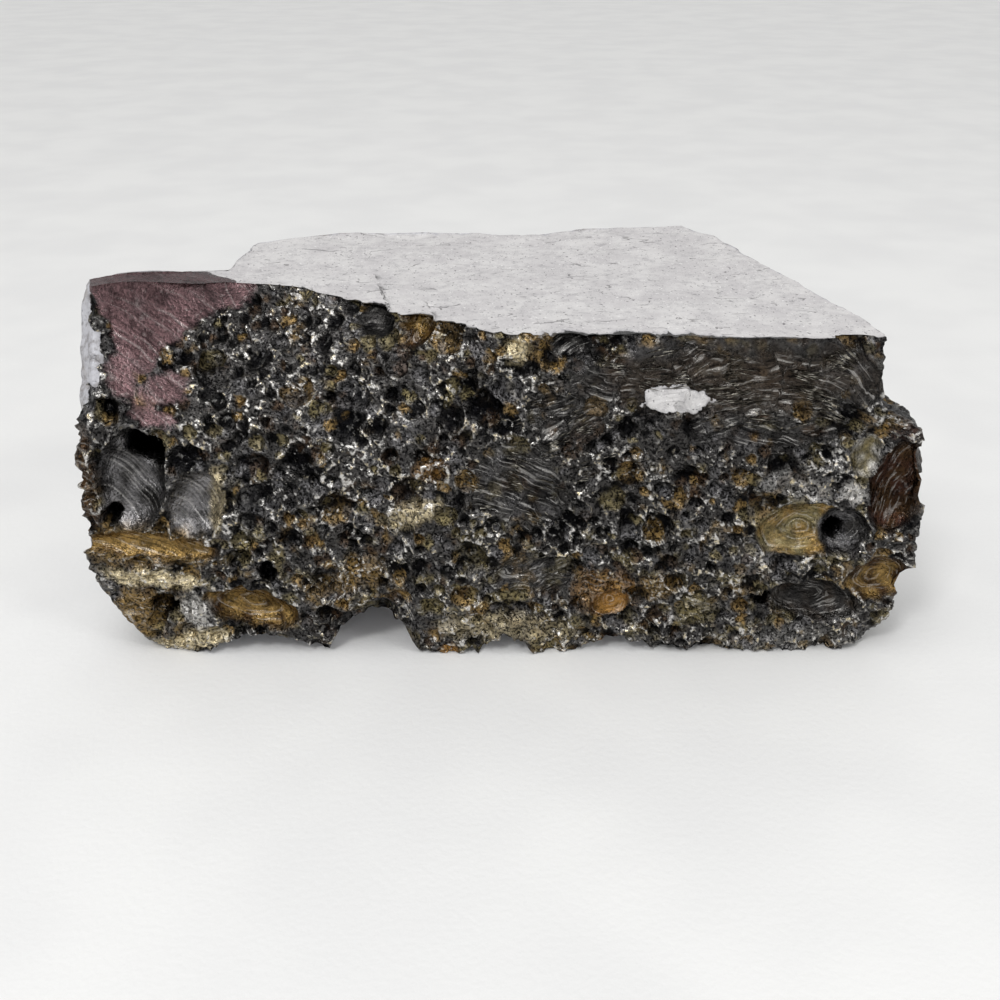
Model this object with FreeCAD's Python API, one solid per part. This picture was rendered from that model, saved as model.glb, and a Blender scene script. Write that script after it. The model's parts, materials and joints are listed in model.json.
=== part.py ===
"""A broken length of magnesium copper master alloy ingot: one cast lump, written as one solid.

The frame stands on the floor under the middle of the lump: +X to the right, +Y from the broken front
face to the back, +Z up. All sizes are in millimetres.
"""
import FreeCAD
import Part

import os

from FreeCAD import Vector

# Overall sizes of the lump.
LENGTH = 200.0          # end to end along X, at the widest level
DEPTH = 102.0           # from the foremost to the rearmost point along Y
HEIGHT = 83.0           # from the floor to the cast top face

# Heights of the levels where the outline changes.
TOE_Z = 9.0             # where the rounded foot of the lump ends
SHELF_Z = 24.0          # widest level of the lower, bubbly third
BELT_DROP = 35.0        # from the top face down to the middle of the broken face
LEDGE_DROP = 23.0       # from the top face down to the ledge in the right end
SHOULDER_DROP = 17.5    # from the top face down to the foot of the wall above that ledge

# The raised corner at the left end of the top face.
RIM_RISE = 6.0          # how far the corner stands above the top face
RIM_REACH = 6.0         # how far its crest runs in from the left end
RIM_ROUND = 28.0        # length over which the top face turns up into it
SPARE = 4.0             # stock above the rim, taken off by the trim

# Hollows under the lump, each a dome that opens at the front: x from the middle, half width, rise, run.
HOLLOW_FRONT = -3.0     # centre of every dome, measured back from the front
HOLLOWS = {
    "left_gap": (-58.5, 14.5, 5.6, 34.0),
    "arch": (-31.5, 11.5, 12.5, 30.0),
    "dark_arch": (1.5, 7.0, 5.0, 18.0),
    "right_gap": (29.0, 10.5, 4.2, 26.0),
}

# Large gas cavities in the broken front face. Each has its distance from the named end of the lump, its
# height above the floor, half width, half height, depth into the face and lean in degrees.
LEFT_END_CAVITIES = {
    "grey_cavity": (14.0, 47.5, 8.0, 14.0, 9.0, 18.0),
    "second_cavity": (28.0, 42.5, 6.5, 9.0, 6.0, 25.0),
    "gold_hollow": (42.0, 15.5, 11.0, 5.5, 5.0, 12.0),
    "corner_hole": (21.5, 14.5, 3.6, 3.0, 7.0, 30.0),
    "gold_shelf": (25.0, 31.5, 16.0, 4.2, 5.0, 4.0),
}
RIGHT_END_CAVITIES = {
    "brown_cavity": (5.5, 47.0, 6.5, 11.5, 7.0, 0.0),
    "ringed_cavity": (29.5, 36.5, 11.5, 7.5, 5.0, -10.0),
    "holed_cavity": (18.5, 36.0, 6.5, 6.0, 6.5, 0.0),
    "round_cavity": (10.5, 22.5, 8.5, 5.5, 4.5, -8.0),
    "dark_cavity": (28.0, 15.5, 12.0, 6.0, 6.0, 5.0),
}
# Two pores that break the front edge of the top face: x from the middle, drop below the top face, half
# width, half height, depth into the face and lean.
EDGE_PORES = {
    "oval_pore": (-19.0, 3.5, 4.0, 6.0, 5.0, 20.0),
    "dark_pore": (-29.0, 4.5, 4.6, 4.6, 5.0, 0.0),
}

FRONT_EDGES = 8         # how many of the corner edges, from the first, stand on the front face


def corners():
    """The corner edges of the lump, clockwise from above, each as its (x, y) at every level.

    The levels run up from the floor: floor, toe, shelf, belt, ledge, shoulder, top. The edges of the raised
    corner have one more, where they would meet the spare stock's top. Edges near an end are measured from
    that end, and those of the back from the back.
    """
    left = -LENGTH / 2
    right = LENGTH / 2
    back = DEPTH
    return [
        # front face, from the right end to the left
        [(right - 11, 6), (right - 4, 4), (right - 1, 2), (right - 1, 1),
         (right - 4, 1), (right - 14, 2), (right - 15.5, 2)],
        [(right - 33, 4), (right - 32, 1), (right - 32, 0), (right - 33, 1),
         (right - 33, 1), (right - 34, 1), (right - 35, 1.5)],
        [(28, 5), (28, 2), (28, 0.5), (30, 1), (30, 1), (31, 1.5), (31, 2)],
        [(2, 3), (2, 1), (1, 0.5), (0, 1), (0, 1.5), (0, 2.5), (0, 4)],
        [(-24, 4), (-24, 1.5), (-24, 0), (-23, 2), (-21, 4), (-19, 7), (-16, 13)],
        [(-50, 4), (-50, 2), (-50, 0), (-50, 3), (-50, 7), (-50, 14), (-49, 38)],
        [(left + 30, 3), (left + 30, 1), (left + 29, 0), (left + 29, 2),
         (left + 29, 6), (left + 29, 12), (left + 31, 42), (left + 31, 46)],
        [(left + 16, 6), (left + 9, 3), (left + 1, 2), (left + 2, 2),
         (left + 4, 2), (left + 7, 4), (left + 6, 17), (left + 6, 22)],
        # left end
        [(left + 13, 12), (left + 6, 9), (left, 8), (left + 1, 8),
         (left + 2, 9), (left + 1.5, 11), (left + 1, 24), (left + 5, 26)],
        [(left + 15, 52), (left + 8, 52), (left + 5, 52), (left + 7, 52),
         (left + 10, 52), (left + 14, 52), (left + 30, 53), (left + 31, 49)],
        [(left + 26, back - 18), (left + 20, back - 15), (left + 18, back - 14), (left + 21, back - 15),
         (left + 24, back - 16), (left + 27, back - 18), (left + 33, back - 22)],
        # back
        [(-50, back - 7), (-50, back - 4), (-49, back - 3), (-48, back - 4),
         (-47, back - 6), (-47, back - 8), (-46, back - 11)],
        [(-12, back - 10), (-12, back - 7), (-11, back - 5), (-10, back - 6),
         (-9, back - 7), (-8, back - 8), (-6, back - 11)],
        [(6, back - 13), (6, back - 11), (6, back - 10), (6, back - 11),
         (6, back - 12), (6, back - 13), (6, back - 16)],
        [(28, back - 6), (28, back - 3), (27, back - 2), (26, back - 3),
         (25, back - 3), (25, back - 4), (24, back - 6)],
        [(right - 40, back - 5), (right - 37, back - 1), (right - 35, back), (right - 38, back),
         (right - 41, back), (right - 43, back - 1), (right - 47, back - 3)],
        # right end
        [(right - 28, back - 22), (right - 22, back - 20), (right - 19, back - 20), (right - 24, back - 20),
         (right - 29, back - 19), (right - 34, back - 18), (right - 39, back - 17)],
        [(right - 16, 46), (right - 9, 44), (right - 5, 42), (right - 8, 42),
         (right - 12, 42), (right - 20, 42), (right - 25.5, 41)],
        [(right - 10, 20), (right - 3, 18), (right, 16), (right, 15),
         (right - 3, 15), (right - 15, 15), (right - 17.5, 16)],
    ]


def level_heights():
    """The heights of the levels that corners() lists, from the floor to the top face."""
    drops = [BELT_DROP, LEDGE_DROP, SHOULDER_DROP, 0.0]
    return [0.0, TOE_Z, SHELF_Z] + [HEIGHT - drop for drop in drops]


def rough_lump():
    """The lump as straight facets between its levels, with spare stock above the rim."""
    edges = corners()
    heights = level_heights() + [HEIGHT + RIM_RISE + SPARE]
    wires = []
    for level, z in enumerate(heights):
        ring = [edge[min(level, len(edge) - 1)] for edge in edges]
        wires.append(Part.makePolygon([Vector(x, y, z) for x, y in ring + ring[:1]]))
    return Part.makeLoft(wires, True, True)


def top_trim():
    """The stock above the cast top face, which is flat and turns up into the rim at the left end."""
    foot_x = -LENGTH / 2 + RIM_REACH + RIM_ROUND
    crest_x = foot_x - RIM_ROUND
    crest_z = HEIGHT + RIM_RISE
    over_x = LENGTH
    over_z = crest_z + 2 * SPARE
    bend = Part.BezierCurve()
    half_round = RIM_ROUND / 2
    bend.setPoles([
        Vector(foot_x, -DEPTH, HEIGHT),
        Vector(foot_x - half_round, -DEPTH, HEIGHT),
        Vector(crest_x + half_round, -DEPTH, crest_z),
        Vector(crest_x, -DEPTH, crest_z),
    ])
    outline = Part.makePolygon([
        Vector(crest_x, -DEPTH, crest_z),
        Vector(-over_x, -DEPTH, crest_z),
        Vector(-over_x, -DEPTH, over_z),
        Vector(over_x, -DEPTH, over_z),
        Vector(over_x, -DEPTH, HEIGHT),
        Vector(foot_x, -DEPTH, HEIGHT),
    ])
    profile = Part.Wire([bend.toShape()] + outline.Edges)
    return Part.Face(profile).extrude(Vector(0, 3 * DEPTH, 0))


def ellipsoid(centre, half_x, half_y, half_z, lean=0.0):
    """An ellipsoid about centre, leaned clockwise by that many degrees as seen from the front."""
    ball = Part.makeSphere(1.0)
    squeeze = FreeCAD.Matrix()
    squeeze.scale(half_x, half_y, half_z)
    ball = ball.transformGeometry(squeeze)
    ball.rotate(Vector(0, 0, 0), Vector(0, 1, 0), lean)
    ball.translate(centre)
    return ball


def front_y(x, z):
    """How far back the front face lies at (x, z), between the corner edges that stand on it."""
    heights = level_heights()
    z = min(max(z, heights[0]), heights[-1])
    level = max(i for i in range(len(heights) - 1) if heights[i] <= z)
    share = (z - heights[level]) / (heights[level + 1] - heights[level])
    line = []
    for edge in corners()[:FRONT_EDGES]:
        low, high = edge[level], edge[level + 1]
        line.append((low[0] + share * (high[0] - low[0]), low[1] + share * (high[1] - low[1])))
    line.sort()
    x = min(max(x, line[0][0]), line[-1][0])
    for (x0, y0), (x1, y1) in zip(line, line[1:]):
        if x <= x1:
            return y0 + (y1 - y0) * (x - x0) / (x1 - x0)
    return line[-1][1]


def cavities():
    """The gas cavities of the front face, each as an ellipsoid that stands half out of the face."""
    placed = [(-LENGTH / 2 + x, z, *rest) for x, z, *rest in LEFT_END_CAVITIES.values()]
    placed += [(LENGTH / 2 - x, z, *rest) for x, z, *rest in RIGHT_END_CAVITIES.values()]
    placed += [(x, HEIGHT - drop, *rest) for x, drop, *rest in EDGE_PORES.values()]
    return [
        ellipsoid(Vector(x, front_y(x, z), z), half_x, depth, half_z, lean)
        for x, z, half_x, half_z, depth, lean in placed
    ]


def hollows():
    """The domes under the lump that leave it standing on its feet."""
    return [
        ellipsoid(Vector(x, HOLLOW_FRONT, 0), half_x, run, rise)
        for x, half_x, rise, run in HOLLOWS.values()
    ]


def ingot():
    """The whole ingot lump, standing on the floor with the origin under the middle of its box."""
    body = rough_lump().cut(top_trim())
    body = body.cut(cavities() + hollows())
    lump = max(body.Solids, key=lambda solid: solid.Volume)
    lump.translate(Vector(0, -DEPTH / 2, 0))
    return lump


def main():
    os.makedirs("parts", exist_ok=True)
    lump = ingot()
    lump.exportStep("parts/ingot.step")
    print("ingot valid:", lump.isValid(), "faces:", len(lump.Faces),
          "litres:", round(lump.Volume / 1e6, 3))


main()
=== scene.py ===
"""A broken length of magnesium copper master alloy, as a Blender add-on that is run as a script.

The lump is one closed surface. Its wall is a grid of columns round the outline and rows up the side, and
two grids of cross strips close it above and below. Shapes are worked out in millimetres, in the lump's
modelling frame, whose origin is under the middle of its foremost edge, and go into the mesh in metres.
"""
import functools
import json
import math

import bpy
import numpy as np
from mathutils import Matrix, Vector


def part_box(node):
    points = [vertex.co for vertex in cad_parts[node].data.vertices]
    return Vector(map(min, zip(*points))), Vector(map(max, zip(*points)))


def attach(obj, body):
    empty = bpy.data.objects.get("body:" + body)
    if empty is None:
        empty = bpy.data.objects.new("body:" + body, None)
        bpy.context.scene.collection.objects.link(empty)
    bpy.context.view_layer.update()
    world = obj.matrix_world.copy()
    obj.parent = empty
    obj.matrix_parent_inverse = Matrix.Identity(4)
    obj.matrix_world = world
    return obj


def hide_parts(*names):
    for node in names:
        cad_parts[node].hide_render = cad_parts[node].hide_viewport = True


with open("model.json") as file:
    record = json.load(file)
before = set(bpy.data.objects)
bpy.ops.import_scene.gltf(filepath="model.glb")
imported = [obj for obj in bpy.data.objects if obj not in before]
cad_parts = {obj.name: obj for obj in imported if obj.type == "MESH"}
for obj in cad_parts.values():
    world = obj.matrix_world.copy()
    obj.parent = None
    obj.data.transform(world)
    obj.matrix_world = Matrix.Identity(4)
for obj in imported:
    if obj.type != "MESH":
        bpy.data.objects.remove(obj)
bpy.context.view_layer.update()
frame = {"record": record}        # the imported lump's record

bl_info = {
    "name": "Cast alloy lump",
    "version": (1, 0, 0),
    "blender": (4, 5, 0),
    "location": "View3D > Sidebar > Alloy lump",
    "description": "Builds a broken lump of magnesium copper alloy and the stage that it lies on",
    "category": "Add Mesh",
}

MM = 0.001                                  # one millimetre in metres

# The lump's box and its cast top face, from the frame, in millimetres.
LOW, HIGH = (np.array(corner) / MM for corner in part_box("ingot"))
LEFT, RIGHT = LOW[0], HIGH[0]
DEPTH = HIGH[1] - LOW[1]
CREST = HIGH[2]                             # top of the raised corner
MOUNTS = {mount["name"]: mount for mount in frame["record"]["mounts"]}
TOP = MOUNTS["cast_top"]["pos_m"][2] / MM   # the cast top face
FRONT_SHIFT = np.array([0.0, LOW[1], 0.0])  # from the modelling frame to the lump's own frame

# Levels at which corner_edges() gives the outline: floor, toe, shelf, belt, ledge, shoulder, top, crest.
LEVELS = np.array([0.0, 9.0, 24.0, TOP - 35.0, TOP - 23.0, TOP - 17.5, TOP, CREST + 4.0])

# The raised corner at the left end.
RIM_REACH = 6.0                             # how far its crest runs in from the end
RIM_ROUND = 28.0                            # length over which the top face turns up into it

# Number of grid columns along the front and round the rest, wall rows, and cross strip rows.
FRONT_COLUMNS, REST_COLUMNS, WALL_ROWS, CAP_ROWS = 440, 300, 190, 60

# The eye that the front face's features are laid out from: its height, and its distance in front.
EYE = np.array([0.0, -249.8, 170.8])
PITCH = math.radians(27.0)
LENS = 43.2

# Domes under the lump: x of the middle, half width, rise, run.
HOLLOW_FRONT = -3.0
HOLLOWS = (
    (-58.5, 14.5, 5.6, 34.0),
    (-31.5, 11.5, 12.5, 30.0),
    (1.5, 7.0, 5.0, 18.0),
    (29.0, 10.5, 4.2, 26.0),
)

# Metal colours, linear.
# Near black: painted shade in pits, holes, deep pore bowls and dark cavities, and the dark of drifts and grain
# lines.
BLACK_AND_SHADE = (0.0025, 0.0025, 0.003)
CHARCOAL = (0.060, 0.057, 0.055)
STEEL = (0.19, 0.185, 0.19)
LEAD = (0.34, 0.33, 0.335)
SILVER = (0.72, 0.70, 0.67)
CREAM = (0.78, 0.66, 0.42)
GOLD = (0.38, 0.245, 0.085)
AMBER = (0.38, 0.20, 0.055)
BROWN = (0.075, 0.042, 0.020)
RUST = (0.065, 0.030, 0.020)
OLIVE = (0.26, 0.215, 0.105)
UMBER = (0.065, 0.050, 0.038)
MAUVE = (0.19, 0.115, 0.120)
NEEDLE_DULL = (0.09, 0.08, 0.065)
NEEDLE_BRIGHT = (0.56, 0.53, 0.46)

# Colours of the cast skin: its ground, cloud, mottle, flecks, specks and cracks, and its duller sides.
SKIN = (0.57, 0.552, 0.555)
SKIN_CLOUD = (0.66, 0.645, 0.64)
SKIN_MOTTLE = (0.36, 0.35, 0.36)
SKIN_FLECK = (0.78, 0.77, 0.76)
SKIN_SPECK = (0.09, 0.085, 0.09)
SKIN_CRACK = (0.12, 0.115, 0.12)
FROST = (0.40, 0.41, 0.46)
SIDE_ROUGH = (0.17, 0.155, 0.15)
SIDE_WARM = (0.21, 0.165, 0.12)

# The sheet that the lump stands on, and the soft lamps: name, place and side in metres, power in watts.
SHEET = (0.79, 0.79, 0.785)
SHEET_CLOUD = (0.84, 0.84, 0.83)
LAMPS = (
    ("key_light", (-0.35, -0.75, 0.9), 0.22, 4.2),
    ("fill_light", (0.7, -0.6, 0.7), 0.3, 1.6),
)
LAMP_AIM = (0.0, 0.0, 0.04)
SKY_POWER = 0.9
SKY_SPREAD = math.radians(40.0)
ROOM_LIGHT = 0.55

# Gas cavities of the broken face, as seen from the eye: x, height, half width, half height, depth, lean in
# degrees, colour, second colour, grain ("ring", "streak" or "plain") and grain angle in degrees.
CAVITIES = (
    (-85.5, 48.2, 7.9, 14.0, 7.0, 14, LEAD, CHARCOAL, "streak", -50),
    (-71.4, 42.2, 6.4, 9.2, 5.0, 20, LEAD, CHARCOAL, "streak", -50),
    (-60.7, 14.2, 11.7, 5.4, 4.5, 12, GOLD, BROWN, "ring", 0),
    (-83.5, 31.2, 16.5, 3.6, 3.2, 4, GOLD, BROWN, "streak", -15),
    (-17.9, 85.6, 3.4, 5.2, 4.5, 20, GOLD, BROWN, "ring", 0),
    (-27.1, 87.4, 4.2, 4.0, 4.5, 0, CHARCOAL, BLACK_AND_SHADE, "plain", 0),
    (71.5, 35.6, 11.4, 7.0, 3.6, -10, OLIVE, GOLD, "ring", 0),
    (81.0, 35.4, 6.0, 6.2, 4.5, 0, STEEL, CHARCOAL, "ring", 0),
    (92.5, 46.7, 6.6, 12.0, 5.5, 4, BROWN, RUST, "streak", 70),
    (91.0, 22.4, 8.0, 5.6, 3.6, -8, GOLD, BROWN, "ring", 0),
    (75.6, 16.4, 11.8, 5.6, 5.0, 5, CHARCOAL, UMBER, "ring", 0),
    (15.3, 82.0, 4.8, 3.4, 3.0, 0, CHARCOAL, BLACK_AND_SHADE, "streak", 35),
    (83.7, 55.1, 3.6, 5.4, 2.0, 8, OLIVE, SILVER, "plain", 0),
    (26.8, 15.5, 5.2, 4.2, 2.8, 0, AMBER, BROWN, "ring", 0),
)

# Deep holes, sunk in and painted near black inside as shade: x, height, half width, half height, depth, lean
# in degrees.
HOLES = (
    (-81.5, 56.0, 4.8, 5.0, 9.0, -30),
    (-92.0, 38.6, 2.2, 2.2, 5.0, 0),
    (-82.0, 14.9, 3.5, 3.1, 7.0, 30),
    (79.6, 34.4, 2.7, 2.7, 6.5, 0),
    (-55.8, 23.5, 2.0, 3.4, 5.0, 0),
    (64.0, 16.5, 2.4, 1.7, 4.0, 20),
    (-87.6, 66.6, 1.8, 2.6, 4.0, 0),
    (-61.5, 5.0, 3.0, 1.5, 5.0, 0),
)

# Coloured stretches without a cavity: x, height, half width, half height, lean in degrees, colour, strength.
STAINS = (
    (-96.5, 52.6, 3.4, 18.0, 0, BROWN, 0.9),
    (-83.3, 22.4, 14.0, 2.4, 6, CREAM, 1.0),
    (-84.0, 30.7, 18.0, 6.0, 3, GOLD, 0.6),
    (-66.4, 43.5, 2.2, 8.8, 8, CREAM, 0.9),
    (-74.7, 12.8, 4.0, 5.6, -25, SILVER, 0.9),
    (-78.0, 5.0, 13.0, 2.6, -8, CREAM, 0.9),
    (-88.0, 14.0, 7.0, 7.0, 0, GOLD, 0.7),
    (4.0, 80.5, 3.4, 4.2, 20, CREAM, 1.0),
    (7.5, 84.5, 4.5, 2.2, 0, GOLD, 0.8),
    (82.7, 45.8, 3.8, 2.6, 20, SILVER, 1.0),
    (72.0, 5.0, 24.0, 4.6, 0, SILVER, 0.15),
    (1.0, 9.0, 18.0, 4.0, 0, CREAM, 0.40),
    (-12.5, 3.0, 2.6, 2.6, 0, AMBER, 0.9),
    (25.0, 19.0, 8.5, 7.0, 0, AMBER, 0.5),
    (92.5, 62.5, 5.0, 3.4, 0, RUST, 0.6),
    (-20.9, 40.0, 7.5, 3.2, -15, CREAM, 0.7),
    (-16.1, 51.3, 4.6, 3.4, 0, AMBER, 0.45),
    (-38.5, 21.0, 7.0, 3.0, -20, GOLD, 0.6),
    (-32.0, 25.0, 6.0, 5.0, 0, GOLD, 0.5),
    (48.0, 14.0, 6.0, 5.0, 0, OLIVE, 0.7),
    (68.0, 47.0, 9.0, 4.0, 10, SILVER, 0.35),
    (60.0, 27.0, 9.0, 5.0, 0, STEEL, 0.4),
    (38.0, 20.0, 5.0, 4.0, 0, GOLD, 0.5),
    (52.0, 73.0, 34.0, 9.0, 0, UMBER, 0.75),
)

# Where the broken face shows crystal blades: x, height, half width, half height, direction in degrees.
BLADES = (
    (8.4, 23.2, 10.0, 6.0, 14),
    (13.6, 64.5, 11.0, 6.5, 25),
    (4.7, 48.0, 12.0, 13.0, -20),
    (22.0, 74.0, 9.0, 7.0, 18),
    (52.0, 72.0, 30.0, 9.5, 5),
    (79.0, 74.0, 9.0, 8.0, -38),
    (60.0, 60.5, 20.0, 4.0, 4),
)

# Fans of thin needles: x, height, half width, half height, direction in degrees, usual length.
NEEDLES = (
    (50.0, 76.0, 28.0, 6.0, 4, 7.0),
    (66.0, 66.0, 20.0, 5.5, 3, 8.0),
    (80.0, 75.0, 7.0, 7.0, -40, 6.0),
    (13.0, 65.0, 9.0, 5.0, 28, 5.0),
    (8.0, 24.0, 9.0, 5.0, 14, 6.5),
    (3.0, 46.0, 11.0, 10.0, -20, 5.0),
    (22.0, 55.0, 12.0, 7.0, 12, 4.0),
)

# Where the upper right of the broken face has needles and few pores, in the same form.
NEEDLE_BED = (54.0, 76.0, 34.0, 9.0, 0)

# The smooth heat-stained patch on the raised corner, as seen from the eye: its outline and its remnants.
PATCH_OUTLINE = (
    (-89, 96), (-74.6, 99), (-55, 99), (-51, 94), (-55, 90.5), (-61.6, 89.6), (-67.6, 85),
    (-73.5, 81.5), (-77.5, 75.5), (-86, 73.5), (-84.5, 82), (-86.5, 91),
)
PATCH_REMNANTS = (
    (-75.0, 71.0, 7.0, 4.0, -20),
    (-84.0, 74.0, 4.0, 7.0, 0),
    (-78.0, 64.5, 6.0, 2.4, 10),
)
PALE_SPOT = (39.1, 69.2, 8.2, 3.8, 4)       # cast skin that shows in the broken face
FACET = (-92.3, 82.5, 5.0, 11.0, -8)        # cast skin of the left end


# ---------------------------------------------------------------- noise

def hashed(cell, seed):
    """A random number from 0 to 1 for each whole-number cell (N, 3).

    The three numbers and the seed are multiplied by large odd constants and added, and the bits of the sum
    are mixed by shifts and products, all kept to 32 bits.
    """
    mask = 0xFFFFFFFF
    mixed = cell[..., 0] * 0x8DA6B343 + cell[..., 1] * 0xD8163841 + cell[..., 2] * 0xCB1AB31F
    mixed = (mixed + seed * 0x9E3779B1) & mask
    for shift, factor in ((15, 0x2C1B3C6D), (12, 0x297A2D39)):
        mixed = ((mixed ^ (mixed >> shift)) * factor) & mask
    return (mixed ^ (mixed >> 15)) / mask


def soft_noise(points, size, seed):
    """Smooth noise from -1 to 1 with lumps of that size.

    Each corner of the unit cell round a point has a random slope; its slope times the offset is blended over
    the cell with the weights 6t^5 - 15t^4 + 10t^3.
    """
    place = points / size
    cell = np.floor(place).astype(np.int64)
    part = place - cell
    fade = part ** 3 * (part * (part * 6 - 15) + 10)
    total = np.zeros(len(points))
    for corner in np.ndindex(2, 2, 2):
        at = cell + np.array(corner)
        slope = np.stack([hashed(at, seed + k) * 2 - 1 for k in range(3)], axis=1)
        weight = np.prod(np.where(np.array(corner), fade, 1 - fade), axis=1)
        total += weight * np.sum(slope * (part - np.array(corner)), axis=1)
    return total * 1.6


def layered(points, size, seed, layers=3):
    """soft_noise added up over layers, each half as large and half as strong as the one before."""
    total = sum(soft_noise(points, size / 2 ** k, seed + 11 * k) / 2 ** k for k in range(layers))
    return total / (2 - 2 ** (1 - layers))


def foam(points, size, seed):
    """Random cells of that size: distance to the nearest cell middle in sizes, and two numbers a cell."""
    place = points / size
    home = np.floor(place).astype(np.int64)
    near = np.full(len(points), 9.0)
    kind = np.zeros((len(points), 2))
    for step in np.ndindex(3, 3, 3):
        cell = home + np.array(step) - 1
        middle = cell + np.stack([hashed(cell, seed + k) for k in range(3)], axis=1)
        distance = np.linalg.norm(place - middle, axis=1)
        closer = distance < near
        near = np.where(closer, distance, near)
        numbers = np.stack([hashed(cell, seed + 7), hashed(cell, seed + 8)], axis=1)
        kind = np.where(closer[:, None], numbers, kind)
    return near, kind


def streaks(across, along, seed, size=1.5):
    """Noise drawn out into uneven lines: that size across them and nine times as much along them."""
    place = np.stack([across, along / 9.0, np.zeros_like(across)], axis=1)
    return layered(place, size, seed, 2)


def step_up(value, low, high):
    """0 below low, 1 above high, and 3t^2 - 2t^3 between."""
    share = np.clip((value - low) / (high - low), 0, 1)
    return share * share * (3 - 2 * share)


def blend(colour, other, share):
    """The two colours mixed, with that share of the other at each point."""
    return colour + (np.asarray(other) - colour) * share[:, None]


# ---------------------------------------------------------------- base shape of the lump

def corner_edges():
    """The corner edges of the lump, clockwise from above, each as its (x, y) at every level."""
    left, right, back = LEFT, RIGHT, DEPTH
    edges = [
        # front face, from the right end to the left
        [(right - 11, 6), (right - 4, 4), (right - 1, 2), (right - 1, 1),
         (right - 4, 1), (right - 14, 2), (right - 15.5, 2)],
        [(right - 33, 4), (right - 32, 1), (right - 32, 0), (right - 33, 1),
         (right - 33, 1), (right - 34, 1), (right - 35, 1.5)],
        [(28, 5), (28, 2), (28, 0.5), (30, 1), (30, 1), (31, 1.5), (31, 2)],
        [(2, 3), (2, 1), (1, 0.5), (0, 1), (0, 1.5), (0, 2.5), (0, 4)],
        [(-24, 4), (-24, 1.5), (-24, 0), (-23, 2), (-21, 4), (-19, 7), (-16, 13)],
        [(-50, 4), (-50, 2), (-50, 0), (-50, 3), (-50, 7), (-50, 14), (-49, 38)],
        [(left + 30, 3), (left + 30, 1), (left + 29, 0), (left + 29, 2),
         (left + 29, 6), (left + 29, 12), (left + 31, 42), (left + 31, 46)],
        [(left + 16, 6), (left + 9, 3), (left + 1, 2), (left + 2, 2),
         (left + 4, 2), (left + 7, 4), (left + 6, 17), (left + 6, 22)],
        # left end
        [(left + 13, 12), (left + 6, 9), (left, 8), (left + 1, 8),
         (left + 2, 9), (left + 1.5, 11), (left + 1, 24), (left + 5, 26)],
        [(left + 15, 52), (left + 8, 52), (left + 5, 52), (left + 7, 52),
         (left + 10, 52), (left + 14, 52), (left + 30, 53), (left + 31, 49)],
        [(left + 26, back - 18), (left + 20, back - 15), (left + 18, back - 14), (left + 21, back - 15),
         (left + 24, back - 16), (left + 27, back - 18), (left + 33, back - 22)],
        # back
        [(-50, back - 7), (-50, back - 4), (-49, back - 3), (-48, back - 4),
         (-47, back - 6), (-47, back - 8), (-46, back - 11)],
        [(-12, back - 10), (-12, back - 7), (-11, back - 5), (-10, back - 6),
         (-9, back - 7), (-8, back - 8), (-6, back - 11)],
        [(6, back - 13), (6, back - 11), (6, back - 10), (6, back - 11),
         (6, back - 12), (6, back - 13), (6, back - 16)],
        [(28, back - 6), (28, back - 3), (27, back - 2), (26, back - 3),
         (25, back - 3), (25, back - 4), (24, back - 6)],
        [(right - 40, back - 5), (right - 37, back - 1), (right - 35, back), (right - 38, back),
         (right - 41, back), (right - 43, back - 1), (right - 47, back - 3)],
        # right end
        [(right - 28, back - 22), (right - 22, back - 20), (right - 19, back - 20), (right - 24, back - 20),
         (right - 29, back - 19), (right - 34, back - 18), (right - 39, back - 17)],
        [(right - 16, 46), (right - 9, 44), (right - 5, 42), (right - 8, 42),
         (right - 12, 42), (right - 20, 42), (right - 25.5, 41)],
        [(right - 10, 20), (right - 3, 18), (right, 16), (right, 15),
         (right - 3, 15), (right - 15, 15), (right - 17.5, 16)],
    ]
    return np.array([edge + edge[-1:] * (len(LEVELS) - len(edge)) for edge in edges])


def outline_at(turn, z):
    """The outline's (x, y) at corner number turn and height z: straight between corners and levels."""
    edges = corner_edges()
    first = np.floor(turn).astype(int)
    along = (turn - first)[..., None]
    level = np.clip(np.searchsorted(LEVELS, z, side="right") - 1, 0, len(LEVELS) - 2)
    up = ((z - LEVELS[level]) / (LEVELS[level + 1] - LEVELS[level]))[..., None]
    here, after = first % len(edges), (first + 1) % len(edges)
    lower = edges[here, level] * (1 - along) + edges[after, level] * along
    upper = edges[here, level + 1] * (1 - along) + edges[after, level + 1] * along
    return lower * (1 - up) + upper * up


def column_turns():
    """The corner number of every column: even lengths along the front, then a chosen spread round the rest.

    The front runs from half way along the last edge to half way along the eighth. The rest is spread so that
    each of its columns lies behind a front one, and the strips across the top never cross.
    """
    corners = np.arange(-0.5, 8.0, 0.5)
    line = outline_at(corners, np.full(len(corners), LEVELS[3]))
    lengths = np.concatenate([[0], np.cumsum(np.linalg.norm(np.diff(line, axis=0), axis=1))])
    share = np.linspace(0, 1, FRONT_COLUMNS + 1)
    front = np.interp(share * lengths[-1], lengths, corners)
    spread = [0.0, 0.04, 0.12, 0.24, 0.28, 0.40, 0.48, 0.53, 0.68, 0.77, 0.88, 0.97, 1.0]
    turns = [18.5, 18, 17, 16, 15, 14, 13, 12, 11, 10, 9, 8, 7.5]
    rest = np.interp(np.linspace(1, 0, REST_COLUMNS + 1), spread, turns)
    return np.concatenate([front, rest[1:-1]])


def top_height(x):
    """The top face's height at x: level, then up an S curve into the raised corner at the left."""
    foot = LEFT + RIM_REACH + RIM_ROUND
    return TOP + (CREST - TOP) * step_up(-x, -foot, -foot + RIM_ROUND)


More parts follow.
